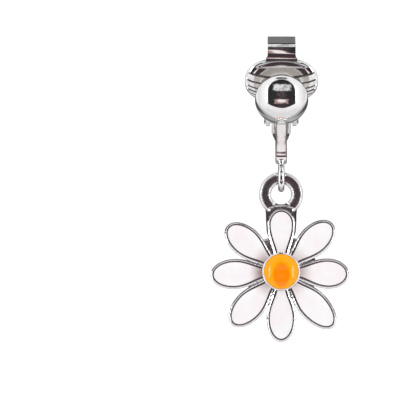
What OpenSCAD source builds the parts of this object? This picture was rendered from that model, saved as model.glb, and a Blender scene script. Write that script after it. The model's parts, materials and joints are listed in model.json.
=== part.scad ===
// Clip-on drop earring: a sprung paddle clip with a half ball front, and an
// enamelled daisy that hangs from the loop under the clip.
// The origin is the middle of the clamp, where the ear lobe sits.
// +X is the viewer's right, -Y faces the viewer and +Z is up.

/* [Clamp] */
// Lean of the clamping faces, their top towards the viewer, in degrees
jaw_lean = 24; // [10:1:28]
// Gap between the half ball's back plate and the middle of the closed pad
jaw_gap = 1; // [0.8:0.1:1.4]

/* [Half ball] */
// Diameter of the half ball at its rim
ball_d = 6.1; // [5:0.1:6.6]
// Radius of the sphere that the half ball is cut from
ball_sphere_r = 3.3; // [3.3:0.1:4.5]
// Height of the half ball's middle above the clamp's middle
ball_rise = 0.44; // [0:0.02:0.6]
// Diameter of the plate that the half ball is soldered to
plate_d = 4.6; // [3:0.1:4.8]

/* [Bracket] */
// Width of the bracket's strip
strip_w = 1.35; // [1:0.05:1.6]
// Thickness of the bracket's strip
strip_t = 0.5; // [0.4:0.05:0.6]
// Length of the leaning strip from the clamp's middle to its knee
knee_drop = 3; // [2.9:0.1:3.4]
// Lean of the front leg between its knee and its bend, in degrees
leg_lean = 12; // [6:1:14]
// Lowest point of the bracket's bend below the clamp's middle
bend_drop = 7.5; // [7:0.1:9]
// Radius of the bend along the middle of the strip
bend_r = 1.15; // [1.05:0.05:1.5]
// Width of the channel that holds the hinge pin
channel_w = 2.18; // [1.9:0.02:2.3]
// Thickness of the channel's two wings
wing_t = 0.4; // [0.3:0.05:0.5]
// Radius of the wings round the hinge pin
wing_r = 0.6; // [0.5:0.05:0.62]
// Lowest point of the channel below the clamp's middle
channel_drop = 4.9; // [4.6:0.1:5.4]

/* [Drop loop] */
// Thickness of the loop's wire
loop_wire_d = 0.75; // [0.6:0.05:0.8]
// Outer diameter of the loop
loop_d = 3.45; // [3.4:0.05:4]

/* [Hinge pin] */
// Diameter of the hinge pin
pin_d = 0.6; // [0.4:0.05:0.7]
// Diameter of the pin's heads
pin_head_d = 0.84; // [0.75:0.01:1]
// Thickness of each head
pin_head_t = 0.2; // [0.1:0.05:0.3]
// Distance of the pin from the clamp's middle, along the clamping faces
hinge_drop = 3.1; // [3:0.1:3.4]
// Distance of the pin behind the clamp's middle, across the clamping faces
hinge_back = 0.75; // [0.7:0.05:0.9]

/* [Paddle] */
// Width of the oval pad
pad_w = 8.4; // [7:0.1:9]
// Height of the oval pad
pad_h = 5.44; // [4.6:0.02:6]
// Squareness of the pad's oval, where 2 is an ellipse
pad_squareness = 2.4; // [2:0.1:3]
// Height of the pad's middle above the clamp's middle
pad_rise = 1.92; // [1.6:0.02:2.2]
// Thickness of the paddle's sheet
sheet_t = 0.5; // [0.4:0.05:0.6]
// Radius of the pad's hollow face
dish_r = 20; // [14:1:30]
// Width of each grip rib
rib_w = 0.26; // [0.15:0.01:0.4]
// Height of each grip rib
rib_h = 0.12; // [0.05:0.01:0.2]
// Radius that the grip ribs are curved to
rib_curve_r = 10; // [8:1:40]
// Width of the neck that carries the flanges
neck_w = 3.5; // [3.3:0.1:3.8]
// Thickness of the two flanges
flange_t = 0.45; // [0.3:0.05:0.5]
// Radius of the flanges round the hinge pin
flange_r = 0.62; // [0.55:0.01:0.7]
// Width of the finger tab above the pad
tab_w = 3.2; // [2.6:0.1:4]
// Radius inside the tab's curled lip
curl_r = 1.2; // [0.8:0.05:1.4]
// Turn of the curled lip, in degrees
curl_turn = 168; // [90:2:180]
// Highest point of the lip above the clamp's middle
lip_rise = 7.12; // [6.6:0.02:7.6]

/* [Daisy] */
// Distance from the middle of the eye to the middle of the daisy
daisy_drop = 8.9; // [8.6:0.02:9.4]
// Distance from the daisy's middle to a petal's widest place
petal_wide_at = 5.4; // [5:0.1:5.6]
// Distance from the daisy's middle to the root of a petal's enamel
petal_root_at = 2.32; // [2.3:0.01:2.6]
// Half width of the enamel at its root
petal_root_half_w = 0.5; // [0.4:0.01:0.6]
// Width of the metal rim round each field of enamel
rim_w = 0.3; // [0.22:0.01:0.36]
// Radius of the web that joins the petals
web_r = 4.15; // [3.8:0.05:4.4]
// Radius of the round field of enamel in the daisy's middle
centre_r = 2.02; // [1.8:0.01:2.1]
// Width of the rim round the middle field
centre_rim_w = 0.17; // [0.12:0.01:0.2]
// Thickness of the daisy
daisy_t = 1.5; // [1.3:0.1:2]

/* [Eye] */
// Outer radius of the eye at the top of the daisy
eye_r = 2.5; // [2.3:0.05:2.6]
// Radius of the eye's hole
eye_hole_r = 1.2; // [1.1:0.01:1.25]
// Thickness of the eye
eye_t = 1.1; // [0.9:0.05:1.1]
// Depth of the groove round the eye
groove_depth = 0.2; // [0.1:0.05:0.3]
// Width of the rims on both sides of the groove
eye_rim_w = 0.33; // [0.2:0.01:0.4]

/* [Hidden] */
$fn = 72;

// Clearance of a pin in a hole that it is fixed in, and in one that turns on it
fixed_gap = 0.02;
turning_gap = 0.05;
// Clearance between enamel and the metal round and under it
enamel_gap = 0.02;
// Clearance between the loop's wire and the eye that hangs on it
hanging_gap = 0.05;
// Clearance between the turning neck and the wings, and under the flanges
neck_gap = 0.12;
web_gap = 0.05;

// The strip's middle line, its knee, and the bend below the two legs
strip_mid = -jaw_gap / 2 - strip_t / 2;
knee_y = strip_mid * cos(jaw_lean) + knee_drop * sin(jaw_lean);
knee_z = strip_mid * sin(jaw_lean) - knee_drop * cos(jaw_lean);
bend_z = -bend_drop + strip_t / 2 + bend_r;
leg_length = (knee_z - bend_z + bend_r * sin(leg_lean)) / cos(leg_lean);
bend_y = knee_y + leg_length * sin(leg_lean) + bend_r * cos(leg_lean);
rear_y = bend_y + bend_r;
web_front = rear_y - strip_t / 2;
web_back = rear_y + strip_t / 2;

// The hinge's place in the upright frame
hinge_y = hinge_back * cos(jaw_lean) + hinge_drop * sin(jaw_lean);
hinge_z = hinge_back * sin(jaw_lean) - hinge_drop * cos(jaw_lean);
web_top = hinge_z - wing_r - web_gap;
// Height of the taper at the channel's foot
channel_taper = 0.9;
pin_half = neck_w / 2 + turning_gap;

// The pad's edge and the curled lip
pad_face = jaw_gap / 2;
pad_top = pad_rise + pad_h / 2;
tab_face = pad_face - pow(pad_h / 2, 2) / (2 * dish_r);
curl_y = tab_face + curl_r + sheet_t;
curl_z = (lip_rise - curl_r - sheet_t - curl_y * sin(jaw_lean)) / cos(jaw_lean);
neck_face = tab_face + 0.1;
neck_end = -hinge_drop + flange_r + neck_gap;
pad_bottom = pad_rise - pad_h / 2;
// Heights of the grip ribs' middles above the clamp's middle
RIBS = [2.17, 1.31, 0.56, 0.12, -0.25];
// How far the tab and the neck run into the pad
tab_overlap = 0.7;
neck_overlap = 0.5;
// Heights over the neck's end where the flange starts to widen, front and back
flange_front_rise = 0.8;
flange_back_rise = 0.5;

// How deep the loop is soldered into the bend
loop_sunk = 0.22;
// The loop, and the eye whose two edges rest in its curve
loop_mid_r = (loop_d - loop_wire_d) / 2;
loop_y = bend_y;
loop_z = -bend_drop + loop_sunk - loop_d / 2;
loop_hole_r = loop_mid_r - loop_wire_d / 2;
eye_rest = sqrt(pow(loop_hole_r - hanging_gap, 2) - pow(eye_t / 2, 2));
eye_z = loop_z - eye_rest - eye_hole_r;
daisy_z = eye_z - daisy_drop;

// Levels of the daisy across its thickness, from front to back
rim_level = -daisy_t / 2;
centre_rim_level = rim_level - 0.05;
web_level = rim_level + 0.42;
floor_level = 0.1;
back_level = daisy_t / 2;
// Cutters for the enamel fields start this far in front of the rims
cut_ahead = 1;
// Rise of the enamel over the rims, and the radius of its crown
enamel_crown = 0.06;
enamel_crown_r = 12;
dome_crown = 0.85;
crown_at = (petal_root_at + petal_wide_at) / 2 + 0.9;

// Shoulders under the eye: columns are half width, depth below the eye
SHOULDERS = [[1.95, 1.56], [1.76, 2.1], [1.76, 3.1], [1.66, 4.5]];
groove_turn = 275;

// Columns: angle anticlockwise from the viewer's right, length to the tip, and
// half width of the enamel at its widest place
PETALS = [
  [90, 7.24, 1.3], [43.5, 8.1, 1.44], [-2.5, 7.8, 1.44], [-46.5, 8.75, 1.44],
  [-90, 8.1, 1.39], [-133, 8.35, 1.44], [-177, 8.15, 1.44], [140, 8.15, 1.44]
];
ANGLE = 0;
LENGTH = 1;
HALF_WIDTH = 2;
// Higher powers keep a petal slim for longer beyond its root
petal_flare = 1.5;

// Points along a petal's side and round its tip
side_steps = 6;
tip_steps = 9;

// Puts what is drawn in the clamp's leaning frame into the upright one
module leaning() {
  rotate([jaw_lean, 0, 0]) children();
}

// Extrudes a profile drawn in Y and Z along X, from x to x + width
module across(x, width) {
  translate([x, 0, 0])
    rotate([90, 0, 90])
      linear_extrude(height = width) children();
}

// Extrudes a profile drawn in X and Z along Y, from y_front back to y_back
module from_front(y_front, y_back) {
  translate([0, y_back, 0])
    rotate([90, 0, 0])
      linear_extrude(height = y_back - y_front) children();
}

// A round bar along X
module bar(r, x, length) {
  translate([x, 0, 0]) rotate([0, 90, 0]) cylinder(r = r, h = length);
}

module half_ball() {
  cap_h = ball_sphere_r - sqrt(pow(ball_sphere_r, 2) - pow(ball_d / 2, 2));
  intersection() {
    translate([0, -jaw_gap / 2 - strip_t - cap_h + ball_sphere_r, ball_rise])
      sphere(r = ball_sphere_r);
    from_front(-jaw_gap / 2 - strip_t - ball_sphere_r, -jaw_gap / 2 - strip_t)
      translate([0, ball_rise]) circle(d = ball_d);
  }
}

// In Y and Z, the front normal of a face that leans, and a way down along it
function facing(lean) = [-cos(lean), -sin(lean)];
function down(lean, way) = way * [sin(lean), -cos(lean)];

// The strip behind the half ball and the front leg, mitred at the knee
module front_strip() {
  knee = [knee_y, knee_z];
  top = strip_mid * -facing(jaw_lean);
  foot = knee + down(leg_lean, leg_length);
  half = strip_t / 2;
  mid_lean = (jaw_lean + leg_lean) / 2;
  mitre = half / cos((jaw_lean - leg_lean) / 2);
  across(-strip_w / 2, strip_w)
    polygon([
      top + half * facing(jaw_lean), knee + mitre * facing(mid_lean),
      foot + half * facing(leg_lean), foot - half * facing(leg_lean),
      knee - mitre * facing(mid_lean), top - half * facing(jaw_lean)
    ]);
}

// The bend, from the foot of the leaning front leg to the upright rear one
module strip_bend() {
  reach = 2 * bend_r;
  across(-strip_w / 2, strip_w)
    translate([bend_y, bend_z])
      intersection() {
        difference() {
          circle(r = bend_r + strip_t / 2);
          circle(r = bend_r - strip_t / 2);
        }
        polygon([
          [0, 0], [reach, 0], [reach, -reach], [-reach, -reach],
          [-reach * cos(leg_lean), -reach * sin(leg_lean)]
        ]);
      }
}

module channel_web() {
  from_front(web_front, web_back)
    polygon([
      [-strip_w / 2, -channel_drop], [strip_w / 2, -channel_drop],
      [channel_w / 2, -channel_drop + channel_taper],
      [channel_w / 2, web_top], [-channel_w / 2, web_top],
      [-channel_w / 2, -channel_drop + channel_taper]
    ]);
}

module channel_wing(x) {
  across(x, wing_t) {
    translate([hinge_y, hinge_z]) circle(r = wing_r);
    polygon([
      [hinge_y - wing_r, hinge_z], [web_front, -channel_drop + channel_taper],
      [web_back, -channel_drop + channel_taper], [web_back, web_top],
      [hinge_y, hinge_z + wing_r]
    ]);
  }
}

module drop_loop() {
  translate([0, loop_y, loop_z])
    rotate([0, 90, 0])
      rotate_extrude()
        translate([loop_mid_r, 0]) circle(d = loop_wire_d, $fn = 36);
}

module clip_bracket() {
  color("silver")
    difference() {
      union() {
        leaning() {
          half_ball();
          from_front(-jaw_gap / 2 - strip_t, -jaw_gap / 2)
            translate([0, ball_rise]) circle(d = plate_d);
        }
        front_strip();
        strip_bend();
        translate([-strip_w / 2, web_front, bend_z])
          cube([strip_w, strip_t, -channel_drop + channel_taper - bend_z]);
        channel_web();
        channel_wing(-channel_w / 2);
        channel_wing(channel_w / 2 - wing_t);
        drop_loop();
      }
      translate([0, hinge_y, hinge_z])
        bar(pin_d / 2 + fixed_gap, -channel_w, 2 * channel_w);
    }
}

module hinge_pin() {
  color("gainsboro")
    translate([0, hinge_y, hinge_z]) {
      bar(pin_d / 2, -pin_half, 2 * pin_half);
      bar(pin_head_d / 2, -pin_half - pin_head_t, pin_head_t);
      bar(pin_head_d / 2, pin_half, pin_head_t);
    }
}

// The dished sheet of the pad, its hollow face offset forward by rise
module dish(rise) {
  translate([0, pad_face - dish_r, pad_rise])
    difference() {
      sphere(r = dish_r + sheet_t);
      sphere(r = dish_r - rise);
    }
}

// One step round a squarish oval, from -1 to 1
function squared(v) = sign(v) * pow(abs(v), 2 / pad_squareness);

module oval_prism() {
  from_front(-pad_h / 2, pad_h / 2)
    polygon([
      for (a = [0:6:354])
        [pad_w / 2 * squared(cos(a)), pad_rise + pad_h / 2 * squared(sin(a))]
    ]);
}

module grip_ribs() {
  intersection() {
    dish(rib_h);
    oval_prism();
    from_front(-pad_h / 2, pad_h / 2)
      for (rise = RIBS)
        translate([0, rise + rib_curve_r])
          difference() {
            circle(r = rib_curve_r + rib_w / 2, $fn = 180);
            circle(r = rib_curve_r - rib_w / 2, $fn = 180);
          }
  }
}

// The finger tab and its lip, which curls over to the rear
module finger_tab() {
  reach = 2 * (curl_r + sheet_t);
  across(-tab_w / 2, tab_w) {
    translate([tab_face, pad_top - tab_overlap])
      square([sheet_t, curl_z - pad_top + tab_overlap]);
    translate([curl_y, curl_z])
      intersection() {
        difference() {
          circle(r = curl_r + sheet_t);
          circle(r = curl_r);
        }
        polygon([
          [0, 0], [-reach * cos(curl_turn), reach * sin(curl_turn)],
          [reach, reach], [-reach, reach], [-reach, 0]
        ]);
      }
  }
}

module flange(x) {
  across(x, flange_t) {
    translate([hinge_back, -hinge_drop]) circle(r = flange_r);
    polygon([
      [hinge_back - flange_r, -hinge_drop],
      [neck_face, neck_end + flange_front_rise],
      [neck_face, pad_bottom + neck_overlap],
      [neck_face + sheet_t, pad_bottom + neck_overlap],
      [hinge_back + flange_r, neck_end + flange_back_rise],
      [hinge_back + flange_r, -hinge_drop]
    ]);
  }
}

module clip_paddle() {
  color("silver")
    leaning()
      difference() {
        union() {
          intersection() {
            dish(0);
            oval_prism();
          }
          grip_ribs();
          finger_tab();
          translate([-neck_w / 2, neck_face, neck_end])
            cube([neck_w, sheet_t, pad_bottom + neck_overlap - neck_end]);
          flange(-neck_w / 2);
          flange(neck_w / 2 - flange_t);
        }
        translate([0, hinge_back, -hinge_drop])
          bar(pin_d / 2 + turning_gap, -neck_w, 2 * neck_w);
      }
}

// Outline of one petal pointing along +X, from its root to its tip
module petal_outline(tip, wide, root_half, root_at) {
  side = [
    for (i = [0:side_steps - 1])
      let (t = i / side_steps)
        [
          root_at + t * (petal_wide_at - root_at),
          root_half + (wide - root_half) * pow(sin(90 * t), petal_flare)
        ]
  ];
  round_tip = [
    for (i = [0:tip_steps - 1])
      let (a = 90 * i / tip_steps)
        [petal_wide_at + (tip - petal_wide_at) * sin(a), wide * cos(a)]
  ];
  upper = concat(side, round_tip);
  last = len(upper) - 1;
  lower = [for (i = [last:-1:0]) [upper[i][0], -upper[i][1]]];
  polygon(concat(upper, [[tip, 0]], lower));
}

// A field of enamel, drawn smaller all round by inset
module petal_field(i, inset) {
  rotate(PETALS[i][ANGLE])
    petal_outline(
      PETALS[i][LENGTH] - rim_w - inset, PETALS[i][HALF_WIDTH] - inset,
      petal_root_half_w - inset, petal_root_at + inset
    );
}

module petal_rim(i) {
  rotate(PETALS[i][ANGLE])
    petal_outline(
      PETALS[i][LENGTH], PETALS[i][HALF_WIDTH] + rim_w,
      petal_root_half_w + rim_w, petal_root_at - rim_w
    );
}

// The eye's ring, its hole and the groove round its front
module eye() {
  difference() {
    from_front(-eye_t / 2, eye_t / 2) circle(r = eye_r);
    from_front(-daisy_t, daisy_t) circle(r = eye_hole_r);
    rotate([90, groove_turn / 2 - 90, 0])
      translate([0, 0, eye_t / 2 - groove_depth])
        rotate_extrude(angle = groove_turn)
          translate([eye_hole_r + eye_rim_w, 0])
            square([eye_r - eye_hole_r - 2 * eye_rim_w, eye_t]);
  }
}

// The shoulders that join the eye to the top petal
module shoulders() {
  from_front(web_level, eye_t / 2)
    polygon(concat(
      [for (s = SHOULDERS) [-s[0], daisy_drop - s[1]]],
      [for (i = [len(SHOULDERS) - 1:-1:0]) [SHOULDERS[i][0], daisy_drop - SHOULDERS[i][1]]]
    ));
}

module daisy_frame() {
  color("silver")
    translate([0, loop_y, daisy_z])
      difference() {
        union() {
          translate([0, 0, daisy_drop]) eye();
          shoulders();
          from_front(web_level, back_level) circle(r = web_r);
          for (i = [0:len(PETALS) - 1])
            from_front(rim_level, back_level) petal_rim(i);
          from_front(centre_rim_level, back_level)
            circle(r = centre_r + centre_rim_w);
        }
        for (i = [0:len(PETALS) - 1])
          from_front(rim_level - cut_ahead, floor_level) petal_field(i, 0);
        from_front(rim_level - cut_ahead, floor_level) circle(r = centre_r);
      }
}

module petal_enamel(i) {
  color("lavenderblush")
    translate([0, loop_y, daisy_z])
      intersection() {
        from_front(rim_level - cut_ahead, floor_level - enamel_gap)
          petal_field(i, enamel_gap);
        rotate([0, -PETALS[i][ANGLE], 0])
          translate([crown_at, rim_level - enamel_crown + enamel_crown_r, 0])
            sphere(r = enamel_crown_r, $fn = 240);
      }
}

module centre_enamel() {
  crown_r = (pow(centre_r, 2) + pow(dome_crown, 2)) / (2 * dome_crown);
  color("darkorange")
    translate([0, loop_y, daisy_z])
      intersection() {
        from_front(rim_level - cut_ahead, floor_level - enamel_gap)
          circle(r = centre_r - enamel_gap);
        translate([0, rim_level - dome_crown + crown_r, 0]) sphere(r = crown_r);
      }
}

clip_bracket();
hinge_pin();
clip_paddle();
daisy_frame();
petal_enamel(0);  // petal_enamel_1
petal_enamel(1);  // petal_enamel_2
petal_enamel(2);  // petal_enamel_3
petal_enamel(3);  // petal_enamel_4
petal_enamel(4);  // petal_enamel_5
petal_enamel(5);  // petal_enamel_6
petal_enamel(6);  // petal_enamel_7
petal_enamel(7);  // petal_enamel_8
centre_enamel();
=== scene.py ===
import json
import math
from types import SimpleNamespace

import bmesh
import bpy
import numpy as np
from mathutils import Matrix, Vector


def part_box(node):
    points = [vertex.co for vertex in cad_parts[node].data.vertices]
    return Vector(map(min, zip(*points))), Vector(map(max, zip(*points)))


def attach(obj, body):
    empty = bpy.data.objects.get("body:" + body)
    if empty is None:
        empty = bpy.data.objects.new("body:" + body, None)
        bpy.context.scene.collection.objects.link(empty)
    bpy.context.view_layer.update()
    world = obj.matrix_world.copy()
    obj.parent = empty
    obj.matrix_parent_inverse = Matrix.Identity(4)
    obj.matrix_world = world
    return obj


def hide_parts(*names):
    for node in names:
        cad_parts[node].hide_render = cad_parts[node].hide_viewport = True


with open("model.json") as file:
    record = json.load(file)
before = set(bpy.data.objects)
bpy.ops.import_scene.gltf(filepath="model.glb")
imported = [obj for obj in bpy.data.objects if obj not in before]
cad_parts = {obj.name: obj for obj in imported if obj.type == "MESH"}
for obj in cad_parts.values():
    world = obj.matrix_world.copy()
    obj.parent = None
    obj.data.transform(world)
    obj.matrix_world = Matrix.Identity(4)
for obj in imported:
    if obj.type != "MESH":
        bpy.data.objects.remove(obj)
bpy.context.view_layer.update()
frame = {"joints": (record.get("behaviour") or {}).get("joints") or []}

# Shapes are worked out in millimetres and turned into metres at the end
MM = 0.001
# How far the finer meshes keep inside the solids' faces
SKIN = 0.003

# Places that the frame gives, in millimetres
JOINTS = {joint["name"]: joint for joint in frame["joints"]}
HINGE = Vector(JOINTS["paddle_hinge"]["pos_m"]) / MM
SWING = Vector(JOINTS["drop_swing"]["pos_m"]) / MM
DAISY_Y = SWING.y
DAISY_Z = sum(corner.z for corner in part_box("centre_enamel")) / 2 / MM
PADDLE_TOP_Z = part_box("clip_paddle")[1].z / MM

# Clamp: the lean of its faces, and the gap between plate and pad
JAW_LEAN = math.radians(24)
JAW_GAP = 1.0

# Half ball and its plate
BALL_R = 3.05
BALL_SPHERE_R = 3.3
BALL_RISE = 0.36
BALL_SKIRT = 0.25
PLATE_R = 2.3
STRIP_T = 0.5
STRIP_W = 1.35
BALL_BACK_Y = -JAW_GAP / 2 - STRIP_T

# Bracket: knee, front leg, bend and channel
KNEE_DROP = 2.5
LEG_LEAN = math.radians(12)
BEND_R = 1.15
CHANNEL_W = 2.18
CHANNEL_DROP = 4.9
CHANNEL_TAPER = 0.9
WING_T = 0.4
WING_R = 0.6
LOOP_WIRE_R = 0.372
LOOP_MID_R = 1.35

# Paddle
PAD_HALF_W = 4.2
PAD_HALF_H = 2.72
PAD_SQUARENESS = 2.4
PAD_RISE = 1.92
SHEET_T = 0.5
DISH_R = 20.0
# Heights of the pad's ribs; the first is the ledge under the smooth zone
RIBS = [2.42, 1.48, 0.78, 0.34, -0.05]
RIB_CURVE_R = 10.0
TAB_W = 3.2
NECK_W = 3.5
FLANGE_T = 0.45
FLANGE_R = 0.62
PIN_R = 0.3
# Dome of the pin's ends: radius, and how far the face lies below its middle
PIN_DOME = [(0.02, 0.0), (0.231, 0.0126), (0.357, 0.035), (0.42, 0.07)]

# Daisy: angle anticlockwise from the viewer's right, length to the tip, widest half width
PETALS = [
    (90, 7.24, 1.6), (43.5, 8.1, 1.74), (-2.5, 7.8, 1.74), (-46.5, 8.75, 1.74),
    (-90, 8.1, 1.69), (-133, 8.35, 1.74), (-177, 8.15, 1.74), (140, 8.15, 1.74),
]
PETAL_ROOT_HALF_W = 0.82
PETAL_FLARE = 1.3
PETAL_WIDE_AT = 5.4
PETAL_ROOT_R = 1.86
RIM_W = 0.375
WEB_R = 4.15
WEB_LEVEL = -0.33
FLOOR_LEVEL = 0.1
CENTRE_R = 2.02
EYE_DROP = 8.9
EYE_HALF_T = 0.55

# Column orders that turn points of (a, b, level) to face the front or the side
FRONTWAYS = [0, 2, 1]
SIDEWAYS = [2, 0, 1]


# Helpers for points
def leaning(points):
    """Turns points of the clamp's leaning frame upright."""
    x, y, z = np.asarray(points, float).T
    c, s = math.cos(JAW_LEAN), math.sin(JAW_LEAN)
    return np.stack([x, y * c - z * s, y * s + z * c], axis=1)


def leaning_place(y, z):
    """Turns a point of the leaning frame's middle plane upright, as (y, z)."""
    return leaning([(0, y, z)])[0][1:]


def in_daisy(points):
    """Puts points given as right, up and depth from the daisy's middle in place."""
    return points[:, FRONTWAYS] + (0.0, DAISY_Y, DAISY_Z)


def turned(points, degrees):
    """Turns flat points anticlockwise about zero."""
    a = math.radians(degrees)
    x, y = points[:, 0], points[:, 1]
    return np.stack([x * math.cos(a) - y * math.sin(a), x * math.sin(a) + y * math.cos(a)], axis=1)


def at_level(outline, level):
    """Gives the points of an outline one level, or a level each."""
    return np.column_stack([outline, np.broadcast_to(level, len(outline))])


def between(start, end, first, last, count):
    """Points on the way from start to end, from the first share of it to the last."""
    return [start + (end - start) * t for t in np.linspace(first, last, count)]


def arc(centre, radius, start, end, steps):
    """Points of (y, z) round a centre, for angles in degrees from the rear over the top."""
    angles = np.radians(np.linspace(start, end, steps + 1))
    return np.column_stack([centre[0] + radius * np.cos(angles), centre[1] + radius * np.sin(angles)])


def circle(radius, segments):
    """Points of (x, y) round zero."""
    angles = np.arange(segments) * 2 * math.pi / segments
    return np.stack([radius * np.cos(angles), radius * np.sin(angles)], axis=1)


def eased(value):
    """Clamps to 0..1 and smooths both ends."""
    t = np.clip(value, 0.0, 1.0)
    return t * t * (3 - 2 * t)


def smooth_line(points, steps=3, closed=False):
    """A Catmull-Rom curve through the points, with steps pieces to each span."""
    points = np.asarray(points, float)
    last = len(points) - 1

    def at(i):
        return points[i % (last + 1)] if closed else points[min(max(i, 0), last)]

    line = []
    for i in range(last + closed):
        a, b, c, d = at(i - 1), at(i), at(i + 1), at(i + 2)
        for k in range(steps):
            t = k / steps
            line.append(
                0.5 * (2 * b + (c - a) * t + (2 * a - 5 * b + 4 * c - d) * t ** 2
                       + (3 * b - a - 3 * c + d) * t ** 3)
            )
    if not closed:
        line.append(points[-1])
    return np.array(line)


# Helpers for outlines
STRIP_CORNER_R = 0.05


def rounded_outline(points, radius, steps=4):
    """A polygon whose corners are rounded to the radius, or to less where they are close."""
    points = np.asarray(points, float)
    outline = []
    for before, here, after in zip(np.roll(points, 1, 0), points, np.roll(points, -1, 0)):
        to_before, to_after = before - here, after - here
        reach = min(radius, 0.45 * np.linalg.norm(to_before), 0.45 * np.linalg.norm(to_after))
        a = here + to_before / np.linalg.norm(to_before) * reach
        b = here + to_after / np.linalg.norm(to_after) * reach
        for k in range(steps + 1):
            t = k / steps
            outline.append((1 - t) ** 2 * a + 2 * t * (1 - t) * here + t ** 2 * b)
    return np.array(outline)


def strip_section(half_w, half_t, bevel_w, bevel_t):
    """A strip's section with bevels beside its outer face."""
    return rounded_outline([
        (bevel_w - half_w, -half_t), (half_w - bevel_w, -half_t), (half_w, bevel_t - half_t),
        (half_w, half_t), (-half_w, half_t), (-half_w, bevel_t - half_t),
    ], STRIP_CORNER_R, 2)


def side_normals(outline):
    """Unit normals to the left of the way round an outline."""
    ahead = np.roll(outline, -1, axis=0) - np.roll(outline, 1, axis=0)
    normals = np.column_stack([-ahead[:, 1], ahead[:, 0]])
    return normals / np.linalg.norm(normals, axis=1)[:, None]


def drawn_in(outline, inset):
    """An outline moved inwards along its own normals, for small insets."""
    x, y = outline.T
    area = np.sum(x * np.roll(y, -1) - np.roll(x, -1) * y)
    return outline + side_normals(outline) * inset * (1 if area > 0 else -1)


# Helpers for rings and solids
def revolved(profile, segments=128):
    """Rings of (right, up, depth) for a profile of (radius, depth)."""
    return [at_level(circle(radius, segments), depth) for radius, depth in profile]


def swept_strip(path, sections):
    """Rings of a strip along a path of (y, z) points; a section's points are (across, inwards)."""
    path = np.asarray(path, float)
    tangents = np.gradient(path, axis=0)
    tangents /= np.linalg.norm(tangents, axis=1)[:, None]
    return [
        np.column_stack([section[:, 0], y - tz * section[:, 1], z + ty * section[:, 1]])
        for (y, z), (ty, tz), section in zip(path, tangents, sections)
    ]


def plate_rings(outline, low, high, bevel, steps=3):
    """Rings of (a, b, level) for a flat plate with rounded edges."""
    levels = []
    for k in range(steps + 1):
        a = math.radians(90 * k / steps)
        levels.append((bevel * (1 - math.sin(a)), low + bevel * (1 - math.cos(a))))
    levels += [(inset, low + high - level) for inset, level in reversed(levels)]
    return [at_level(drawn_in(outline, inset), level) for inset, level in levels]


def skin_faces(rings, closed):
    """Faces between neighbouring rings of equal length, and from the last to the first if closed."""
    total, count = len(rings), len(rings[0])
    faces = []
    for j in range(total if closed else total - 1):
        here, there = j * count, (j + 1) % total * count
        for i in range(count):
            k = (i + 1) % count
            faces.append((here + i, here + k, there + k, there + i))
    return faces


def lofted(rings, cap_last=True):
    """A closed solid through rings of equal length, with a fan over each end.

    A last ring that has collapsed to a line closes by itself and needs no fan."""
    count = len(rings[0])
    vertices = np.vstack(rings + [rings[0].mean(0)[None], rings[-1].mean(0)[None]])
    first, last = len(vertices) - 2, len(vertices) - 1
    end = first - count
    faces = skin_faces(rings, closed=False)
    for i in range(count):
        k = (i + 1) % count
        faces.append((first, k, i))
        if cap_last:
            faces.append((last, end + i, end + k))
    return (vertices if cap_last else vertices[:-1]), faces


def looped(rings):
    """A closed ring-shaped solid, whose last ring meets its first."""
    return np.vstack(rings), skin_faces(rings, closed=True)


# Helpers for Blender's objects. Points closer than the weld are joined
WELD = 0.0004
SLIVER = 0.0002


def placed(name, data):
    """A new object in the scene."""
    made = bpy.data.objects.new(name, data)
    bpy.context.scene.collection.objects.link(made)
    return made


def mesh_object(name, vertices, faces):
    """An object with a clean mesh whose normals point outwards."""
    mesh = bpy.data.meshes.new(name)
    mesh.from_pydata([tuple(v * MM) for v in vertices], [], faces)
    shaped = bmesh.new()
    shaped.from_mesh(mesh)
    bmesh.ops.remove_doubles(shaped, verts=shaped.verts, dist=WELD * MM)
    bmesh.ops.dissolve_degenerate(shaped, edges=shaped.edges, dist=SLIVER * MM)
    bmesh.ops.recalc_face_normals(shaped, faces=shaped.faces)
    shaped.to_mesh(mesh)
    shaped.free()
    return placed(name, mesh)


def apply_modifiers(made):
    """Keeps the mesh that the modifiers give."""
    bpy.context.view_layer.update()
    shown = made.evaluated_get(bpy.context.evaluated_depsgraph_get())
    kept = bpy.data.meshes.new_from_object(shown)
    made.modifiers.clear()
    made.data = kept


def combined(name, solids, cutters=()):
    """One closed mesh: the union of the solids, less the cutters."""
    base = mesh_object(name, *solids[0])
    others = [(solid, "UNION") for solid in solids[1:]] + [(solid, "DIFFERENCE") for solid in cutters]
    for solid, operation in others:
        tool = mesh_object("tool", *solid)
        boolean = base.modifiers.new("boolean", "BOOLEAN")
        boolean.operation = operation
        boolean.solver = "MANIFOLD"
        boolean.object = tool
        apply_modifiers(base)
        bpy.data.objects.remove(tool)
    return base


def dress(made, body, slot, material, *nodes, crease=32):
    """Gives a piece its shading, material and body, and hides the CAD nodes that it stands for."""
    made.data.materials.clear()
    made.data.materials.append(material)
    made.data.shade_smooth()
    made.data.set_sharp_from_angle(angle=math.radians(crease))
    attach(made, body)
    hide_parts(*nodes)


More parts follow.
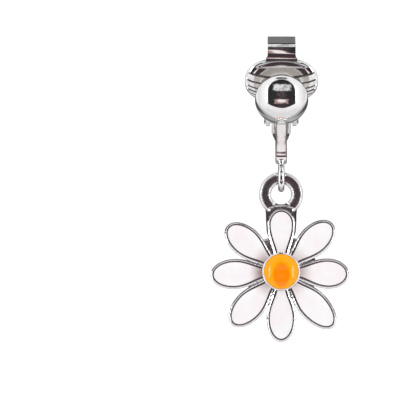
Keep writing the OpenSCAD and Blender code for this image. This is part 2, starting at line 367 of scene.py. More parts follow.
# Helpers for materials
class Net:
    """Short calls for building a tree of shader nodes."""

    def __init__(self, tree):
        self.tree = tree
        tree.nodes.clear()

    def add(self, kind, inputs=(), **settings):
        """Makes a node; each input is a value, or the socket that it is linked to."""
        node = self.tree.nodes.new(kind)
        for key, value in settings.items():
            setattr(node, key, value)
        for socket, value in dict(inputs).items():
            if isinstance(value, bpy.types.NodeSocket):
                self.tree.links.new(value, node.inputs[socket])
            else:
                node.inputs[socket].default_value = value
        return node

    def math(self, operation, a, b=0.0, c=0.0):
        return self.add("ShaderNodeMath", {0: a, 1: b, 2: c}, operation=operation).outputs[0]

    def product(self, *values):
        """All the values multiplied."""
        result = values[0]
        for value in values[1:]:
            result = self.math("MULTIPLY", result, value)
        return result

    def square_sum(self, a, b):
        return self.math("ADD", self.product(a, a), self.product(b, b))

    def distance(self, a, b):
        """How far the point (a, b) is from zero."""
        return self.math("SQRT", self.square_sum(a, b))

    def vector(self, operation, a, b=(0.0, 0.0, 0.0)):
        return self.add("ShaderNodeVectorMath", {0: a, 1: b}, operation=operation).outputs[0]

    def parts(self, vector):
        """The x, y and z of a vector."""
        return self.add("ShaderNodeSeparateXYZ", {0: vector}).outputs

    def ramp(self, value, low, high, to_low=0.0, to_high=1.0):
        """Goes smoothly from to_low to to_high while value goes from low to high."""
        node = self.add(
            "ShaderNodeMapRange",
            {"Value": value, "From Min": low, "From Max": high, "To Min": to_low, "To Max": to_high},
            interpolation_type="SMOOTHSTEP",
        )
        return node.outputs["Result"]

    def fall(self, value, low, high):
        """Goes smoothly from 1 to 0 while value goes from low to high."""
        return self.ramp(value, low, high, 1.0, 0.0)

    def band(self, value, low, high, soft):
        """1 while the value is between low and high, with soft edges outside them."""
        return self.product(self.ramp(value, low - soft, low), self.fall(value, high, high + soft))

    def noise(self, place, scale, detail=3.0, roughness=0.5):
        inputs = {"Vector": place, "Scale": scale, "Detail": detail, "Roughness": roughness}
        return self.add("ShaderNodeTexNoise", inputs).outputs["Fac"]

    def wander(self, noise, amount):
        """A noise that lies about zero and has the given size."""
        return self.product(self.math("SUBTRACT", noise, 0.5), amount)

    def mix(self, share, a, b):
        return self.add("ShaderNodeMix", {0: share, 6: a, 7: b}, data_type="RGBA").outputs[2]

    def painted(self, colour, layers):
        """The colour with each layer, a share and its colour, painted over it in turn."""
        for share, layer in layers:
            colour = self.mix(share, colour, layer)
        return colour


def grey(value):
    return (value, value, value, 1.0)


def new_material(name):
    """A new material, its node tree, and the place on the object."""
    material = bpy.data.materials.new(name)
    material.use_nodes = True
    net = Net(material.node_tree)
    return material, net, net.add("ShaderNodeTexCoord").outputs["Object"]


def finish_material(net, colour, roughness, height, bump_mm, metallic=0.0, **constants):
    """Adds the Principled shader, with a bump whose depth is in millimetres."""
    bump = net.add("ShaderNodeBump", {"Height": height, "Distance": bump_mm * MM, "Strength": 1.0})
    shader = net.add("ShaderNodeBsdfPrincipled", {
        "Base Color": colour, "Roughness": roughness, "Metallic": metallic,
        "Normal": bump.outputs["Normal"],
    })
    for socket, value in constants.items():
        shader.inputs[socket.replace("_", " ")].default_value = value
    net.add("ShaderNodeOutputMaterial", {"Surface": shader.outputs["BSDF"]})


# Metals: colour, lowest roughness, the ripples' depth and their number in a metre, and how deep
# the specks are beside the ripples
PLATED = dict(
    colour=(0.95, 0.945, 0.95, 1.0), dull=0.045, ripple_mm=0.012, ripple_scale=700.0, speck_share=0.05)
CAST = dict(
    colour=(0.94, 0.93, 0.94, 1.0), dull=0.08, ripple_mm=0.022, ripple_scale=1100.0, speck_share=0.22)
CLOUD_SCALE = 420.0
SPECK_SCALE = 5200.0
CLOUD_SHADE = 0.9
CLOUD_DULLNESS = 0.07
SPECK_DULLNESS = 0.08

BALL_BACK_COLOUR = (0.98, 0.93, 0.89, 1.0)
# Painted shade: a dark line in the seam round the half ball
SEAM_SHADE = grey(0.15)
# Painted shade: dark lines under the pad's ribs
RIB_SHADE = grey(0.05)
# Half widths of the painted shade under each rib, and how far its edge is soft and wanders
RIB_SHADE_HALF_W = (0.1, 0.06, 0.05, 0.05, 0.05)
RIB_SHADE_SOFT = 0.05
RIB_SHADE_WANDER = 0.16


def metal(name, finish, colour, dull, ripple_mm, ripple_scale, speck_share):
    """Bright metal: fine ripples, faint wipe marks and duller clouds.

    The finish may change the tint, roughness and metallic share by place."""
    material, net, place = new_material(name)
    ripple = net.noise(place, ripple_scale, 2.0)
    cloud = net.noise(place, CLOUD_SCALE, 4.0, 0.6)
    speck = net.noise(place, SPECK_SCALE, 2.0)
    darker = (*(CLOUD_SHADE * part for part in colour[:3]), 1.0)
    tint = net.mix(net.ramp(cloud, 0.35, 0.75), colour, darker)
    clouded = net.ramp(cloud, 0.4, 0.8, dull, dull + CLOUD_DULLNESS)
    rough = net.math("ADD", clouded, net.ramp(speck, 0.62, 0.8, 0.0, SPECK_DULLNESS))
    tint, rough, metallic = finish(net, place, tint, rough)
    height = net.math("ADD", ripple, net.product(speck, speck_share))
    finish_material(net, tint, rough, height, ripple_mm, metallic)
    return material


def clamp_place(net, place):
    """The x, y and z of a place in the clamp's leaning frame."""
    turn = net.add(
        "ShaderNodeVectorRotate", {"Vector": place, "Angle": -JAW_LEAN}, rotation_type="X_AXIS")
    return net.parts(turn.outputs[0])


def ball_finish(net, place, tint, rough):
    """Painted shade in the seam round the half ball, and a dull, warmer back where it faces the pad."""
    x, y, z = clamp_place(net, place)
    out = net.distance(x, net.math("SUBTRACT", z, BALL_RISE * MM))
    within = net.fall(out, (BALL_R + 0.02) * MM, (BALL_R + 0.06) * MM)
    # the skirt near the rim gets painted shade, a dark line round the half ball
    skirt = net.product(net.ramp(out, (BALL_R - 0.06) * MM, (BALL_R - 0.01) * MM), within)
    rear = net.product(net.ramp(y, (BALL_BACK_Y - 0.05) * MM, (BALL_BACK_Y - 0.01) * MM), within)
    tint = net.painted(tint, [(net.product(skirt, 0.4), SEAM_SHADE), (rear, BALL_BACK_COLOUR)])
    rough = net.math("MAXIMUM", rough, net.product(rear, 0.36))
    return tint, rough, net.math("MULTIPLY_ADD", rear, -0.85, 1.0)


def charm_finish(net, place, tint, rough):
    """The casting's back is left satin."""
    back = DAISY_Y + EYE_HALF_T
    rear = net.ramp(net.parts(place)[1], (back - 0.06) * MM, (back - 0.01) * MM)
    return tint, net.math("MAXIMUM", rough, net.product(rear, 0.34)), 1.0


def paddle_finish(net, place, tint, rough):
    """Painted shade under each rib of the pad, in uneven dark lines that curve with the ribs."""
    x, y, z = clamp_place(net, place)
    smile = net.product(x, x, -0.5 / (RIB_CURVE_R * MM))
    uneven = net.wander(net.noise(place, 900.0, 2.0), RIB_SHADE_WANDER * MM)
    level = net.math("ADD", net.math("ADD", z, smile), uneven)
    # painted shade: a soft dark line under each rib, on the pad's front only
    lines = 0.0
    for rib, half_w in zip(RIBS, RIB_SHADE_HALF_W):
        near = net.math("ABSOLUTE", net.math("SUBTRACT", level, rib * MM))
        line = net.fall(near, half_w * MM, (half_w + RIB_SHADE_SOFT) * MM)
        lines = net.math("ADD", lines, line)
    beside = net.square_sum(x, net.math("SUBTRACT", z, PAD_RISE * MM))
    depth = net.math("MULTIPLY_ADD", beside, 0.5 / (DISH_R * MM), y)
    front = net.fall(depth, (JAW_GAP / 2 + 0.2) * MM, (JAW_GAP / 2 + 0.3) * MM)
    return net.mix(net.product(lines, front, 0.86), tint, RIB_SHADE), rough, 1.0


def plain_finish(net, place, tint, rough):
    """The same polish all over."""
    return tint, rough, 1.0


PLATING = metal("plated_metal", plain_finish, **PLATED)
BALL_PLATING = metal("plated_metal_of_bracket", ball_finish, **PLATED)
PADDLE_PLATING = metal("plated_metal_of_paddle", paddle_finish, **PLATED)
CASTING = metal("cast_metal", charm_finish, **CAST)


# Enamels
ENAMEL_WHITE = (0.872, 0.858, 0.87, 1.0)
ENAMEL_PINK = (0.868, 0.8, 0.815, 1.0)
# Painted shade: taupe near the petals' roots
ROOT_SHADE_TAUPE = (0.34, 0.24, 0.225, 1.0)
# Share of painted taupe shade at the roots: everywhere, and more on the left and right petals
ROOT_SHADE_BASE = 0.09
ROOT_SHADE_LEFT = 0.95
ROOT_SHADE_RIGHT = 0.55
ROOT_SHADE_START = 2.2
ROOT_SHADE_END = 3.9

DEEP_ORANGE = (1.0, 0.205, 0.0, 1.0)
PLAIN_ORANGE = (1.0, 0.375, 0.002, 1.0)
PALE_ORANGE = (1.0, 0.4, 0.01, 1.0)
# The deeper middle of the dome: how far below the daisy's middle it lies, and its width as a
# share of its height
DEEP_DROP = 0.36
DEEP_WIDTH = 0.68


def from_daisy_middle(net, place, drop=0.0, width=1.0):
    """Distance from the point drop below the daisy's middle, with heights multiplied by width."""
    x, _, z = net.parts(place)
    up = net.math("ADD", z, (drop - DAISY_Z) * MM)
    return net.distance(x, net.product(up, width))


def white_enamel():
    """Glossy white enamel: faint pink and lilac clouds, and painted taupe shade near the root."""
    material, net, place = new_material("white_enamel")
    out = from_daisy_middle(net, place)
    cloud = net.noise(place, 330.0, 3.0, 0.55)
    pink = net.mix(net.ramp(cloud, 0.36, 0.66), ENAMEL_WHITE, ENAMEL_PINK)
    edge = net.math("ADD", out, net.wander(cloud, 0.9 * MM))
    x = net.parts(place)[0]
    sideways = net.math("DIVIDE", net.product(x, x), net.product(out, out))
    # painted shade: taupe near the roots, more on the left and right petals
    across = net.product(sideways, net.ramp(x, -1.0 * MM, 1.0 * MM, ROOT_SHADE_LEFT, ROOT_SHADE_RIGHT))
    near_root = net.fall(edge, ROOT_SHADE_START * MM, ROOT_SHADE_END * MM)
    root_shade = net.product(net.math("ADD", across, ROOT_SHADE_BASE), near_root)
    colour = net.mix(root_shade, pink, ROOT_SHADE_TAUPE)
    grain = net.noise(place, 2600.0, 2.0)
    finish_material(
        net, colour, net.ramp(grain, 0.3, 0.8, 0.1, 0.2), cloud, 0.02,
        IOR=1.52, Coat_Weight=0.4, Coat_Roughness=0.04,
    )
    return material


def orange_enamel():
    """Glossy orange enamel, deeper and redder in a middle that lies a little below the daisy's middle."""
    material, net, place = new_material("orange_enamel")
    out = from_daisy_middle(net, place, DEEP_DROP, DEEP_WIDTH)
    cloud = net.noise(place, 500.0, 2.0)
    middle = net.mix(net.ramp(out, 0.74 * MM, 1.16 * MM), DEEP_ORANGE, PLAIN_ORANGE)
    colour = net.mix(net.product(cloud, 0.2), middle, PALE_ORANGE)
    finish_material(net, colour, net.ramp(cloud, 0.3, 0.8, 0.06, 0.12), cloud, 0.006, IOR=1.36)
    return material


WHITE = white_enamel()
ORANGE = orange_enamel()


# Daisy
SIDE_STEPS = 40
TIP_STEPS = 44
ROOT_STEPS = 6
# How fast a petal's root moves outwards as its outline is drawn in
ROOT_INSET = 0.95

# Cross-sections of a petal's cup, as inset from its outline and depth: with a flat rim, which
# mirrors the dark front, and with a ridge, which mirrors the white sides
CUP_SIDE = [(0.16, 0.75), (0.06, 0.735), (0.002, 0.67), (0.005, -0.47)]
FLAT_RIM = CUP_SIDE + [
    (0.012, -0.52), (0.028, -0.575), (0.045, -0.59), (0.13, -0.594),
    (0.15, -0.606), (0.2, -0.644), (0.214, -0.648), (0.225, -0.57),
]
RIDGED_RIM = CUP_SIDE + [
    (0.012, -0.51), (0.028, -0.556), (0.06, -0.582), (0.105, -0.613),
    (0.15, -0.645), (0.192, -0.676), (0.21, -0.668), (0.225, -0.57),
]
# Depth of the narrow ledge between the rim and the enamel
LEDGE = -0.565
# How much flatter a rim is on the sides that face outwards, and upwards
FLAT_OUTWARDS = 0.25
FLAT_UPWARDS = 0.8
# Unevenness of the rims: waves round a petal, and their share of the flatness
RIM_WAVES = [(4, 0.16), (9, 0.12), (21, 0.1), (38, 0.08)]
# Beads along the ridge: how many, their size, and where they lie and fade across it
BEADS = 47
BEAD_SIZE = 0.012
BEAD_INSET = 0.17
BEAD_FADE = 0.07

# Enamel of a petal: shares of the way from its edge to its middle line, where that line starts
# and ends, the height of the crown, and the hollow at the root
GLAZE_SHARES = (0.0, 0.02, 0.06, 0.12, 0.2, 0.3, 0.42, 0.56, 0.72, 0.88, 1.0)
GLAZE_GAP = 0.004
GLAZE_START = 0.9
GLAZE_END = 1.75
GLAZE_SINK = 0.03
CROWN = 0.18
CROWN_POWER = 2.2
HOLLOW = 0.1
HOLLOW_OUTER = 3.6
HOLLOW_W = 1.4

# The middle's cup as radius and depth, and the depths of its dome
CENTRE_CUP = [
    (2.1, 0.75), (2.21, 0.7), (2.21, -0.5), (2.205, -0.58), (2.19, -0.62), (2.115, -0.685),
    (2.045, -0.742), (2.032, -0.748), (2.015, -0.73), (2.01, -0.6), (2.01, 0.1),
]
DOME_CREST = -1.57
DOME_EDGE = -0.7
DOME_POWER = 1.95

# Cross-section of the eye: radius, depth, and 1 where the point belongs to a ridge or the groove
EYE_PROFILE = [
    (2.44, 0.55, 0), (2.498, 0.49, 0), (2.498, -0.3, 0), (2.49, -0.38, 1), (2.45, -0.43, 1),
    (2.34, -0.53, 1), (2.315, -0.545, 1), (2.285, -0.53, 1), (2.17, -0.42, 1), (2.12, -0.36, 1),
    (2.08, -0.345, 1), (1.64, -0.345, 1), (1.6, -0.36, 1), (1.55, -0.42, 1), (1.44, -0.53, 1),
    (1.41, -0.545, 1), (1.38, -0.53, 1), (1.27, -0.43, 1), (1.22, -0.38, 1), (1.2, -0.3, 0),
    (1.2, 0.49, 0), (1.26, 0.55, 0),
]
EYE_STEPS = 160
# Where the eye's ridges run out: degrees from its lowest point, and the degrees that it takes
RIDGES_END = 30
RIDGES_FADE = 12
RIDGELESS_LEVEL = -0.36

# The shoulders: half width, and how far below the eye's middle
SHOULDERS = [(0.6, 1.28), (1.86, 1.68), (1.79, 2.1), (1.76, 3.1), (1.68, 4.3), (1.5, 4.9)]
SHOULDER_LEVEL = -0.37


def petal_outline(tip, half_w, inset):
    """Points round one petal that points to the right, drawn in by inset."""
    wide, root_half = half_w - inset, PETAL_ROOT_HALF_W - inset
    root_r = PETAL_ROOT_R + ROOT_INSET * inset
    start = math.sqrt(root_r ** 2 - root_half ** 2)
    reach = tip - inset - PETAL_WIDE_AT
    upper = []
    for k in range(SIDE_STEPS):
        t = k / SIDE_STEPS
        flare = math.sin(math.pi / 2 * t) ** PETAL_FLARE
        upper.append((start + t * (PETAL_WIDE_AT - start), root_half + (wide - root_half) * flare))
    for k in range(TIP_STEPS):
        a = math.pi / 2 * k / TIP_STEPS
        upper.append((PETAL_WIDE_AT + reach * math.sin(a), wide * math.cos(a)))
    lower = [(x, -y) for x, y in reversed(upper)]
    half_turn = math.asin(root_half / root_r)
    root = [
        (root_r * math.cos(a), root_r * math.sin(a))
        for a in np.linspace(-half_turn, half_turn, ROOT_STEPS + 1)[1:-1]
    ]
    return np.array(upper + [(tip - inset, 0.0)] + lower + root)


def rim_flatness(outline, way_round, angle, rng):
    """How flat the rim is at each point: most on sides that face up."""
    normals = side_normals(outline)
    radial = outline / np.linalg.norm(outline, axis=1)[:, None]
    outwards = (normals * radial).sum(1)
    a = math.radians(angle)
    upwards = normals @ np.array([math.sin(a), math.cos(a)])
    wobble = sum(
        size * np.sin(count * way_round + rng.uniform(0, 2 * math.pi)) for count, size in RIM_WAVES
    )
    return eased((FLAT_OUTWARDS * outwards + FLAT_UPWARDS * upwards + wobble - 0.05) / 0.6)


def petal_cup(angle, tip, half_w, rng):
    """The metal cup of one petal, with a hand-finished rim."""
    outer, inner = petal_outline(tip, half_w, SKIN), petal_outline(tip, half_w, RIM_W)
    way_round = np.linspace(0, 2 * math.pi, len(outer), endpoint=False)
    flat = rim_flatness(outer, way_round, angle, rng)
    beads = BEAD_SIZE * np.sin(BEADS * way_round + 2.5 * np.sin(5 * way_round + rng.uniform(0, 6)))
    rings = []
    for ridged_point, flat_point in zip(smooth_line(RIDGED_RIM), smooth_line(FLAT_RIM)):
        inset, depth = (r + (f - r) * flat for r, f in zip(ridged_point, flat_point))
        if ridged_point[1] < 0:
            inset = inset + beads * math.exp(-((ridged_point[0] - BEAD_INSET) / BEAD_FADE) ** 2)
        share = np.clip(inset / RIM_W, 0.0, 1.0)[:, None]
        rings.append(at_level(turned(outer + (inner - outer) * share, angle), depth))
    rings += [at_level(turned(inner, angle), depth) for depth in (LEDGE, FLOOR_LEVEL)]
    return lofted([in_daisy(ring) for ring in rings])


def petal_glaze(angle, tip, half_w):
    """The enamel of one petal: crowned, and dipping to its edge and root."""
    edge = petal_outline(tip, half_w, RIM_W + GLAZE_GAP)
    spine = edge * (1, 0)
    spine[:, 0] = np.clip(edge[:, 0], PETAL_ROOT_R + GLAZE_START, tip - GLAZE_END)
    rings = [at_level(turned(edge, angle), FLOOR_LEVEL - 0.02)]
    for share in GLAZE_SHARES:
        flat = edge + (spine - edge) * share
        crown = CROWN * (1 - (1 - share) ** CROWN_POWER)
        hollow = HOLLOW * np.clip((HOLLOW_OUTER - flat[:, 0]) / HOLLOW_W, 0, 1) ** 2 * min(1.0, 4 * share)
        rings.append(at_level(turned(flat, angle), LEDGE - GLAZE_SINK - crown + hollow))
    return lofted([in_daisy(ring) for ring in rings], cap_last=False)


def round_in_daisy(profile):
    """A solid round the daisy's middle, from a profile of (radius, depth)."""
    return lofted([in_daisy(ring) for ring in revolved(profile)])


def dome_profile():
    """The orange drop: a dome that meets its rim steeply."""
    radius = CENTRE_R - 0.012
    profile = [(radius, FLOOR_LEVEL - 0.02), (radius, DOME_EDGE)]
    for share in np.linspace(1.0, 0.0, 40)[1:]:
        depth = DOME_CREST + (DOME_EDGE - DOME_CREST) * share ** DOME_POWER
        profile.append((max(radius * share, 0.002), depth))
    return profile


def web_profile():
    """The round web between the petals, with a soft front edge."""
    return smooth_line([
        (WEB_R - 0.12, 0.75), (WEB_R, 0.66), (WEB_R, -0.22), (WEB_R - 0.05, -0.3),
        (WEB_R - 0.14, WEB_LEVEL),
    ])


def eye():
    """The ring at the top, whose two ridges run out into the shoulders below it."""
    radius, depth, on_ridge = smooth_line(EYE_PROFILE, closed=True).T
    rings = []
    for k in range(EYE_STEPS):
        degrees = 360 * k / EYE_STEPS
        from_bottom = abs((degrees - 270 + 180) % 360 - 180)
        lost = 1 - eased((from_bottom - RIDGES_END) / RIDGES_FADE)
        a = math.radians(degrees)
        level = depth + on_ridge * lost * (RIDGELESS_LEVEL - depth)
        ring = np.column_stack([radius * math.cos(a), EYE_DROP + radius * math.sin(a), level])
        rings.append(in_daisy(ring))
    return looped(rings)


def shoulders():
    """The plate between the eye and the top petals."""
    points = [(-w, EYE_DROP - d) for w, d in SHOULDERS]
    points += [(w, EYE_DROP - d) for w, d in reversed(SHOULDERS)]
    outline = rounded_outline(points, 0.2)
    return lofted([in_daisy(ring) for ring in plate_rings(outline, SHOULDER_LEVEL, EYE_HALF_T, 0.015)])


def daisy():
    """The casting, and the enamel in its nine fields."""
    rng = np.random.default_rng(41)
    cups = [petal_cup(angle, tip, half_w, rng) for angle, tip, half_w in PETALS]
    centre_cup = round_in_daisy(smooth_line(CENTRE_CUP))
    centre_field = round_in_daisy([(CENTRE_R, -1.5), (CENTRE_R, FLOOR_LEVEL)])
    solids = [round_in_daisy(web_profile()), centre_cup, eye(), shoulders()] + cups
    casting = combined("daisy_casting", solids, [centre_field])
    dress(casting, "drop", "cast_metal", CASTING, "daisy_frame")
    for number, (angle, tip, half_w) in enumerate(PETALS, 1):
        glaze = mesh_object(f"petal_glaze_{number}", *petal_glaze(angle, tip, half_w))
        dress(glaze, "drop", "white_enamel", WHITE, f"petal_enamel_{number}", crease=50)
    dome = mesh_object("centre_glaze", *round_in_daisy(dome_profile()))
    dress(dome, "drop", "orange_enamel", ORANGE, "centre_enamel", crease=50)


# Bracket
STRIP_MID_Y = -JAW_GAP / 2 - STRIP_T / 2
STRIP_TOP = 0.6
# The strip's lowest point is where the loop's top runs into it
STRIP_LOW_Z = SWING.z + 2 * LOOP_MID_R + LOOP_WIRE_R - 0.22
CHANNEL_FOOT_Z = CHANNEL_TAPER - CHANNEL_DROP
# Shares of the strip's straight parts at which the knee's curve starts and ends
KNEE_START = 0.84
KNEE_END = 0.08
# The strip's waist under the half ball: its height, reach and depth on each side
WAIST_Z = -4.7
WAIST_REACH = 0.75
WAIST = 0.075
# Waves of the strip's front: radians in a millimetre, depth, and what is added near the bend
WAVE_RATE = 5.1
WAVE = 0.004
LOW_WAVE = 0.009
LOW_WAVE_FROM = 6.0


def half_ball():
    """Profile of the polished cap, which ends in a short upright skirt."""
    back = BALL_BACK_Y
    rim = back - BALL_SKIRT
    crest = back + math.sqrt(BALL_SPHERE_R ** 2 - BALL_R ** 2) - BALL_SPHERE_R
    radius = (BALL_R ** 2 + (rim - crest) ** 2) / (2 * (rim - crest))
    widest = math.asin(BALL_R / radius)
    profile = [(BALL_R - 0.2, back), (BALL_R - 0.05, back - 0.01), (BALL_R, back - 0.06)]
    profile.append((BALL_R, rim + 0.02))
    for share in np.linspace(0.995, 0.0, 60):
        a = widest * share
        profile.append((max(radius * math.sin(a), 0.002), crest + radius * (1 - math.cos(a))))
    return profile


def plate():
    """Profile of the round plate that presses on the lobe."""
    face = -JAW_GAP / 2
    return [(PLATE_R - 0.1, face), (PLATE_R - 0.03, face - 0.03), (PLATE_R, face - 0.1),
            (PLATE_R, BALL_BACK_Y - 0.05)]


def on_ball_axis(profile):
    """A solid round the half ball's axis, from a profile of (radius, depth)."""
    return lofted([leaning(ring[:, FRONTWAYS] + (0.0, 0.0, BALL_RISE)) for ring in revolved(profile, 160)])


def strip_path():
    """The middle line of the strip, from behind the half ball down, round the bend and up."""
    top = leaning_place(STRIP_MID_Y, STRIP_TOP)
    knee = leaning_place(STRIP_MID_Y, -KNEE_DROP)
    bend = np.array([DAISY_Y, STRIP_LOW_Z + STRIP_T / 2 + BEND_R])
    foot = bend - BEND_R * np.array([math.cos(LEG_LEAN), math.sin(LEG_LEAN)])
    upper = between(top, knee, 0, KNEE_START, 12)
    lower = between(knee, foot, KNEE_END, 0.98, 44)
    round_knee = smooth_line([upper[-2], upper[-1], lower[0], knee + (foot - knee) * 0.2], 6)[6:12]
    round_bend = arc(bend, BEND_R, 180 + math.degrees(LEG_LEAN), 360, 26)
    rear_top = np.array([bend[0] + BEND_R, CHANNEL_FOOT_Z])
    rear = between(round_bend[-1], rear_top, 0, 1, 8)[1:]
    return np.array(upper[:-1] + list(round_knee) + lower + list(round_bend) + rear)


def strip():
    """The front strip, a little waisted and wavy below its knee, and the rear leg."""
    path = strip_path()
    lengths = np.concatenate([[0.0], np.cumsum(np.linalg.norm(np.diff(path, axis=0), axis=1))])
    front = path[:, 0] < DAISY_Y - 0.6
    low_down = eased((lengths[front] - LOW_WAVE_FROM) / 0.8)
    path[front, 0] += (WAVE + LOW_WAVE * low_down) * np.sin(WAVE_RATE * lengths[front])
    sections = []
    for y, z in path:
        waist = WAIST * math.exp(-((z - WAIST_Z) / WAIST_REACH) ** 2) if y < DAISY_Y else 0.0
        sections.append(strip_section(STRIP_W / 2 - SKIN - waist, STRIP_T / 2 - SKIN, 0.1, 0.26))
    return lofted(swept_strip(path, sections))


def channel():
    """The folded channel: its tapered web, and the two wings that hold the pin."""
    web_y = DAISY_Y + BEND_R - STRIP_T / 2
    top = HINGE.z - WING_R - 0.05
    half = CHANNEL_W / 2
    outline = rounded_outline([
        (-STRIP_W / 2, -CHANNEL_DROP), (STRIP_W / 2, -CHANNEL_DROP), (half, CHANNEL_FOOT_Z),
        (half, top), (-half, top), (-half, CHANNEL_FOOT_Z),
    ], 0.25)
    solids = [lofted([ring[:, FRONTWAYS] for ring in plate_rings(outline, web_y, web_y + STRIP_T, 0.09)])]
    nose = arc((HINGE.y, HINGE.z), WING_R, 90, 180, 12)
    side = np.vstack([
        nose, [(web_y + 0.02, CHANNEL_FOOT_Z), (web_y + STRIP_T, CHANNEL_FOOT_Z), (web_y + STRIP_T, top)],
    ])
    for x in (-half, half - WING_T):
        rings = plate_rings(rounded_outline(side, 0.12, 2), x, x + WING_T, 0.07)
        solids.append(lofted([ring[:, SIDEWAYS] for ring in rings]))
    return solids


def drop_loop():
    """The wire ring soldered under the bend."""
    middle = SWING.z + LOOP_MID_R
    across, outwards = circle(LOOP_WIRE_R, 28)[:, ::-1].T
    reach = LOOP_MID_R + outwards
    return looped([
        np.column_stack([across, DAISY_Y + reach * math.cos(a), middle + reach * math.sin(a)])
        for a in np.radians(np.arange(0, 360, 3))
    ])


def along_x(profile):
    """A round bar on the hinge's axis, from a profile of (radius, x)."""
    return lofted([ring[:, SIDEWAYS] + (0.0, HINGE.y, HINGE.z) for ring in revolved(profile, 48)])


def pin_hole(radius, half_length):
    """What is cut away for the pin."""
    return along_x([(radius, -half_length), (radius, half_length)])


def pin_head(start, end):
    """Profile of a pin's end, domed on both faces."""
    return [(radius, start + dome) for radius, dome in PIN_DOME] + [
        (radius, end - dome) for radius, dome in reversed(PIN_DOME)]


def bracket():
    """The half ball, plate, strip, channel and loop, which are soldered together."""
    solids = [on_ball_axis(half_ball()), on_ball_axis(plate()), strip()] + channel() + [drop_loop()]
    made = combined("bracket_polished", solids, [pin_hole(PIN_R + 0.02, CHANNEL_W)])
    dress(made, "clip", "plated_metal", BALL_PLATING, "clip_bracket")


def pin():
    """The hinge pin with its two ends."""
    half = NECK_W / 2 + 0.05
    shank = along_x([(PIN_R, -half - 0.1), (PIN_R, half + 0.1)])
    ends = [along_x(pin_head(-half - 0.2, -half)), along_x(pin_head(half, half + 0.2))]
    dress(combined("pin_polished", [shank] + ends), "clip", "plated_metal", PLATING, "hinge_pin")


# Paddle
RING_STEPS = 600
# The pad's rolled border: its width at the sides and at top and bottom, and its depth
BORDER_W = 1.0
BORDER_H = 0.24
BORDER_DEPTH = 0.55
# Insets of the rings on the pad's back, from its middle to its edge
BACK_INSETS = (2.6, 2.0, 1.4, 1.0, 0.7, 0.45, 0.25, 0.12, 0.05)
# Beyond this distance from its middle the pad's sides curve away from the lobe again
FLAT_HALF_W = 3.0
SIDE_CURVE_R = 8.0
# Ribs: how steeply each stands out, and the height over which it steps back
RIB_SLOPE = 0.2
RIB_STEP = 0.1
# The smooth zone: depth, tilt and curve at its reference height, and the crease across it
SMOOTH_FACE_Y = 0.36
SMOOTH_Z = 2.7
SMOOTH_TILT = 0.06
SMOOTH_CURVE = 0.0176
CREASE_Z = 3.72
CREASE = 0.02
CREASE_HALF_W = 0.05

TAB_FACE = JAW_GAP / 2 - PAD_HALF_H ** 2 / (2 * DISH_R)
# The tab's face from inside the pad up and over the lip: length along it, upward tilt in degrees
LIP = [
    (0.0, -24), (1.72, -24), (1.86, -4), (2.36, 5), (2.42, 10),
    (2.76, 16), (2.81, 46), (3.95, 55), (4.2, 90), (5.6, 140),
]
# How much further up the first bend lies at the left edge, and down at the right one
BEND_SKEW = 0.24
LIP_STEPS = 150
TAB_SET_BACK = 0.2
# Where the tab leaves the pad, how much wider it is there on each side, and how soon that fades
PAD_TOP_LENGTH = 0.95
FLARE_W = 0.2
FLARE_REACH = 0.14
# Length along the tab at which its bevels have narrowed to those of the lip
BEVELS_END = 2.5

# The pin's place in the leaning frame
PIN_Y = 0.75
PIN_Z = -3.1


def pad_sheet(x, z):
    """Depth of the pad's front without its relief."""
    return_curve = np.maximum(np.abs(x) - FLAT_HALF_W, 0) ** 2 / (2 * SIDE_CURVE_R)
    return JAW_GAP / 2 - (z - PAD_RISE) ** 2 / (2 * DISH_R) - x ** 2 / (2 * DISH_R) + return_curve


def rib(level, high, low):
    """Height of one rib, which rises from its lower edge and steps back at its upper one."""
    inside = eased((level - low) / RIB_STEP + 0.5) - eased((level - high) / RIB_STEP + 0.5)
    return RIB_SLOPE * (level - low) * inside


def pad_relief(x, z):
    """How far the smooth upper zone, its crease and the ribs stand out of the sheet."""
    level = z - x ** 2 / (2 * RIB_CURVE_R)
    above = z - SMOOTH_Z
    side = pad_sheet(x, z) - pad_sheet(0.0, z)
    smooth = SMOOTH_FACE_Y + SMOOTH_TILT * above - SMOOTH_CURVE * above ** 2 + side
    smooth = smooth - CREASE * np.exp(-((z - CREASE_Z) / CREASE_HALF_W) ** 2)
    share = eased((level - RIBS[0] + 0.1) / 0.2)
    ribs = sum(rib(level, high, low) for high, low in zip(RIBS, RIBS[1:]))
    return (pad_sheet(x, z) - smooth) * share + ribs * (1 - share)


def pad_ring(inset, back, relief=0.0):
    """A ring of the pad at an inset from its outline, set back from the sheet."""
    unit = circle(1.0, RING_STEPS)
    unit = np.sign(unit) * np.abs(unit) ** (2 / PAD_SQUARENESS)
    upright = np.interp(inset, (0.0, BORDER_W, PAD_HALF_H), (0.0, BORDER_H, PAD_HALF_H))
    x, z = (unit * (PAD_HALF_W - inset, PAD_HALF_H - upright) + (0.0, PAD_RISE)).T
    depth = pad_sheet(x, z) + back - relief * pad_relief(x, z)
    return leaning(np.column_stack([x, depth, z]))


def pad():
    """The dished oval with its ribs, its border rolled back all the way round."""
    rings = [
        pad_ring(inset, SHEET_T + 0.2 * max(1 - inset / BORDER_W, 0.0) ** 2) for inset in BACK_INSETS
    ]
    rings.append(pad_ring(0.015, BORDER_DEPTH + 0.1))
    for a in np.radians(np.arange(90, -1, -3)):
        t = math.sin(a)
        back = BORDER_DEPTH * (1 - (1 - t ** 1.5) ** (1 / 1.5))
        rings.append(pad_ring(BORDER_W * (1 - t), back, eased((1 - t) * 2.5)))
    rings += [pad_ring(inset, 0.0, 1.0) for inset in np.arange(BORDER_W + 0.03, 2.68, 0.03)]
    return lofted(rings)


